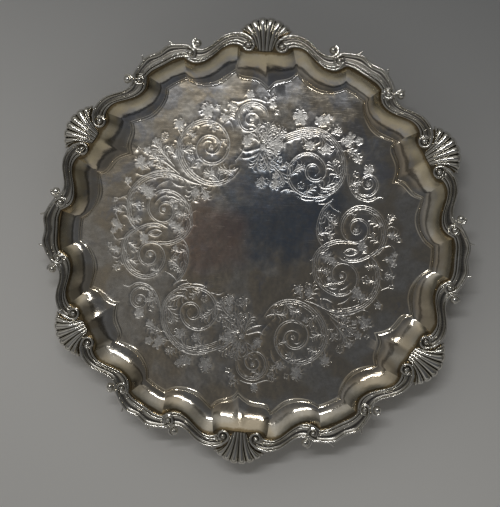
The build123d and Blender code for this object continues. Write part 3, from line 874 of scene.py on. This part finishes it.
def sheet_look(n, at, colour, patches, clouds, specks):
    """Colour and roughness of the tray: tarnish in clouds, painted reflections on the flat, straw
    tarnish with a painted reflection toward the back, stains and fresh cuts.
    """
    x, y, z = n.parts(at)
    upper_side = n.span(z, FLAT - 0.8, FLAT - 0.5)
    on_flat = n.span(z, FLAT + 0.3, FLAT + 0.05)
    warm = n.span(n.noise(at, 0.045, 2.0, 0.5, 0.3), 0.4, 0.62)
    # Smoothed twice, for a firmer border between the clouds.
    colour = n.mix(n.span(warm, 0.0, 1.0, 0.3, 0.85), colour, WARM)
    # Painted reflections on the upper side of the flat: a ragged dark blue patch toward the back
    # right and a brown patch on the left.
    ragged = n.times(n.maths("SUBTRACT", n.noise(at, 0.06, 5.0, 0.6), 0.5), 60.0)
    blue_reflection = n.span(n.plus(n.distance(at, BLUE_REFLECTION_AT), ragged), 44.0, 22.0)
    colour = n.mix(n.times(n.times(blue_reflection, upper_side), 0.85), colour, REFLECTED_BLUE)
    cloudy = n.times(n.maths("SUBTRACT", clouds, 0.5), 40.0)
    brown_reflection = n.span(n.plus(n.distance(at, BROWN_REFLECTION_AT), cloudy), 26.0, 10.0)
    colour = n.mix(n.times(n.times(brown_reflection, upper_side), 0.7), colour, REFLECTED_BROWN)
    oily = n.plus(n.noise(at, 0.055, 5.0, 0.62, 0.4), n.times(y, 0.0012))
    colour = n.mix(n.times(n.span(oily, 0.56, 0.68), 0.5), colour, OILY)
    mottle = n.span(n.noise(at, 0.35, 7.0, 0.72, 0.3), 0.42, 0.62, 0.0, 0.42)
    colour = n.mix(n.times(mottle, on_flat), colour, MOTTLED)
    # Straw tarnish on the bouge, made strongest toward the back as a painted reflection, and a
    # dark line below the border.
    straw_tarnish_and_reflection = n.times(n.span(y, -60.0, 40.0, 0.15, 0.8), n.span(patches, 0.3, 0.6, 0.55, 1.0))
    colour = n.mix(n.times(n.span(z, FLAT + 1.6, FLAT + 3.6), straw_tarnish_and_reflection), colour, STRAW)
    stain = n.span(n.plus(z, n.times(specks, 1.2)), FLAT + 5.8, FLAT + 6.7)
    colour = n.mix(n.times(stain, 0.9), colour, STAIN)
    engraved = n.attribute("engraved")
    colour = n.mix(engraved, colour, FRESH_CUT)
    lean = n.plus(n.times(x, -0.006), n.times(y, 0.004))
    haze = n.span(n.plus(n.plus(patches, lean), n.times(clouds, 0.6)), 0.55, 1.25)
    rough = n.plus(n.times(n.times(haze, on_flat), 0.16), 0.1)
    return colour, n.plus(rough, n.times(engraved, 0.24))


def casting_look(n, at, colour, patches, low_painted_shade):
    """Colour and roughness of a casting: bright, with dark tarnish in its hollows deepened by
    painted shade, and, for the cast border, painted shade on its low parts.
    """
    # Dark tarnish in the hollows, darkened to near black as painted shade.
    tarnish_and_shade = n.span(n.plus(n.attribute("cavity"), n.times(patches, 0.1)), 0.08, 0.26)
    if low_painted_shade:
        z = n.parts(at)[2]
        # Painted shade on the low parts of the moulding, above its underside.
        low = n.times(n.span(z, RIM + 1.05, RIM + 0.45, 0.0, 0.85),
                      n.span(z, RIM + 0.01, RIM + 0.04))
        tarnish_and_shade = n.maths("MAXIMUM", tarnish_and_shade, low)
    colour = n.mix(n.times(tarnish_and_shade, 0.95), colour, DARK_TARNISH_AND_SHADE)
    return colour, n.plus(n.span(patches, 0.3, 0.75, 0.06, 0.13), n.times(tarnish_and_shade, 0.2))


def scratches(n, at):
    """Fine lines in three directions."""
    total = None
    for angle, stretch in ((0.3, 0.05), (1.2, 0.05), (2.3, 0.06)):
        turned = n.add("ShaderNodeMapping", Vector=at, Rotation=(0, 0, angle),
                       Scale=(stretch, 1.0, 1.0))
        line = n.span(n.noise(turned, 2.2, 2.0, 0.7), 0.6, 0.72)
        total = line if total is None else n.plus(total, line)
    return total


def silver(name, kind):
    """Silver for the sheet, the castings or the feet: kind is sheet, cast or foot."""
    mat = bpy.data.materials.new(name)
    mat.use_nodes = True
    n = Nodes(mat.node_tree)
    object_at = n.add("ShaderNodeTexCoord", out=3)
    at = n.add("ShaderNodeVectorMath", operation="SCALE", i0=object_at, Scale=1 / MM)
    clouds = n.noise(at, 0.03, 3.0, 0.5, 0.3)
    patches = n.noise(at, 0.14, 8.0, 0.68, 0.25)
    specks = n.noise(at, 0.9, 4.0, 0.6)
    colour = n.mix(n.span(patches, 0.35, 0.7), DULL, BRIGHT)
    if kind == "sheet":
        colour, rough = sheet_look(n, at, colour, patches, clouds, specks)
        grain, swell = 0.1, 0.0003
    else:
        colour, rough = casting_look(n, at, colour, patches, low_painted_shade=kind == "cast")
        grain, swell = 0.02, 0.00005
    scratched = scratches(n, at)
    height = n.plus(n.times(specks, 0.5), n.times(scratched, 0.4))
    wavy = n.add("ShaderNodeBump", Strength=1.0, Distance=swell,
                 Height=n.noise(at, 0.11, 2.0, 0.5))
    bump = n.add("ShaderNodeBump", Strength=grain, Distance=0.0001, Height=height, Normal=wavy)
    shader = mat.node_tree.nodes["Principled BSDF"]
    for socket, value in (("Base Color", colour), ("Normal", bump),
                          ("Roughness", n.plus(rough, n.times(scratched, 0.07)))):
        mat.node_tree.links.new(value, shader.inputs[socket])
    shader.inputs["Metallic"].default_value = 1.0
    return mat


def give(pieces, mat):
    """The material as the only one of each piece."""
    for piece in pieces:
        piece.data.materials.clear()
        piece.data.materials.append(mat)


give([tray], silver("silver_sheet", "sheet"))
give(castings, silver("silver_cast", "cast"))
give([bpy.data.objects[f"foot_{number}"] for number in (1, 2, 3)], silver("silver_foot", "foot"))


# ---- floor, light and camera -------------------------------------------------------------
def build_floor():
    """A matt floor, pale in front, with painted shade darkening it toward the back right."""
    mesh = bpy.data.meshes.new("floor")
    mesh.from_pydata([(-4, -4, 0), (4, -4, 0), (4, 4, 0), (-4, 4, 0)], [], [(0, 1, 2, 3)])
    floor = bpy.data.objects.new("floor", mesh)
    bpy.context.scene.collection.objects.link(floor)
    mat = bpy.data.materials.new("floor")
    mat.use_nodes = True
    n = Nodes(mat.node_tree)
    east, north, _ = n.parts(n.add("ShaderNodeTexCoord", out=3))
    # Painted shade: the floor's colour darkens toward the back right in place of light falling
    # off.
    far = n.span(n.plus(north, n.times(east, 0.35)), -0.16, 0.28)
    shader = mat.node_tree.nodes["Principled BSDF"]
    mat.node_tree.links.new(n.mix(far, (0.93, 0.92, 0.895), (0.29, 0.295, 0.3)),
                            shader.inputs["Base Color"])
    shader.inputs["Roughness"].default_value = 0.9
    mesh.materials.append(mat)


# The photograph's view: nearly from straight above, the picture rolled by ROLL degrees.
TILT_RIGHT, TILT_UP, ROLL = 0.1007, 0.0684, 3.8
DISTANCE = 0.58
LENS, SENSOR = 72, 36
SHIFT_X, SHIFT_Y = -0.007, -0.0198


def place_camera():
    """The photograph's camera, looking at the middle of the flat."""
    right = Vector((cos(radians(ROLL)), sin(radians(ROLL)), 0))
    up = Vector((-sin(radians(ROLL)), cos(radians(ROLL)), 0))
    toward = (right * TILT_RIGHT + up * TILT_UP + Vector((0, 0, 1))).normalized()
    x_axis = up.cross(toward).normalized()
    rotation = Matrix((x_axis, toward.cross(x_axis), toward)).transposed()
    data = bpy.data.cameras.new("camera")
    data.lens = LENS
    data.sensor_width = SENSOR
    data.sensor_fit = "HORIZONTAL"
    data.shift_x = SHIFT_X
    data.shift_y = SHIFT_Y
    camera = bpy.data.objects.new("camera", data)
    bpy.context.scene.collection.objects.link(camera)
    aim = Vector((0, 0, FLAT * MM))
    camera.matrix_world = Matrix.Translation(aim + toward * DISTANCE) @ rotation.to_4x4()
    bpy.context.scene.camera = camera


KEY_BEARING, KEY_OFF_ZENITH = 352, 24      # clockwise from +Y, and from straight up, degrees
KEY_DISTANCE, KEY_WIDE, KEY_DEEP = 1.2, 0.6, 0.05
KEY_POWER = 2.2


def place_key():
    """A long thin lamp above the back of the salver."""
    a, p = radians(KEY_BEARING), radians(KEY_OFF_ZENITH)
    at = Vector((sin(a) * sin(p), cos(a) * sin(p), cos(p))) * KEY_DISTANCE
    data = bpy.data.lights.new("key", "AREA")
    data.shape = "RECTANGLE"
    data.size = KEY_WIDE
    data.size_y = KEY_DEEP
    data.energy = KEY_POWER
    lamp = bpy.data.objects.new("key", data)
    lamp.location = at
    lamp.rotation_euler = (-at).to_track_quat("-Z", "Y").to_euler()
    bpy.context.scene.collection.objects.link(lamp)


# The studio round the salver: brightness by clockwise angle from +Y, in degrees.
WALLS = ((-180, 0.25), (-140, 0.26), (-100, 0.12), (-80, 0.14), (-60, 0.22), (-20, 0.38),
         (5, 0.38), (40, 0.14), (60, 0.06), (100, 0.05), (140, 0.19), (180, 0.25))
# Rails, lamps and gaps overhead: how much brighter or darker by the height of the view.
BANDS = ((0.0, 0.4), (0.18, 0.45), (0.34, 0.85), (0.5, 1.15), (0.74, 1.2), (0.785, 1.1),
         (0.81, 0.5), (0.88, 0.45), (0.905, 1.1), (0.94, 1.2), (0.962, 1.0), (1.0, 1.0))
LOW_BACK = (0.15, 0.15, 0.14)
CEILING_LEFT, CEILING_RIGHT = (0.15, 0.145, 0.14), (0.075, 0.078, 0.085)


def build_studio():
    """Walls and a ceiling as the world's light, seen in the silver."""
    world = bpy.data.worlds.new("studio")
    bpy.context.scene.world = world
    world.use_nodes = True
    n = Nodes(world.node_tree)
    east, north, height = n.parts(n.add("ShaderNodeTexCoord", out=0))
    angle = n.span(n.maths("ARCTAN2", east, north), -pi, pi, smoothed=False)
    walls = n.ramp(angle, [((a + 180) / 360, (v, 0.98 * v, 0.93 * v)) for a, v in WALLS])
    low_back = n.times(n.span(height, 0.62, 0.2), n.span(north, -0.2, 0.4))
    walls = n.mix(low_back, walls, LOW_BACK)
    ceiling = n.mix(n.span(east, -0.35, 0.0), CEILING_LEFT, CEILING_RIGHT)
    edge = n.plus(n.times(north, 0.13), 0.865)
    over = n.span(n.maths("SUBTRACT", height, edge), -0.025, 0.025)
    light = n.add("ShaderNodeVectorMath", operation="MULTIPLY", i0=n.mix(over, walls, ceiling),
                  i1=n.ramp(height, [(h, (v, v, v)) for h, v in BANDS]))
    world.node_tree.links.new(light, world.node_tree.nodes["Background"].inputs["Color"])


build_floor()
place_camera()
place_key()
build_studio()
bpy.context.scene.view_settings.view_transform = "Standard"
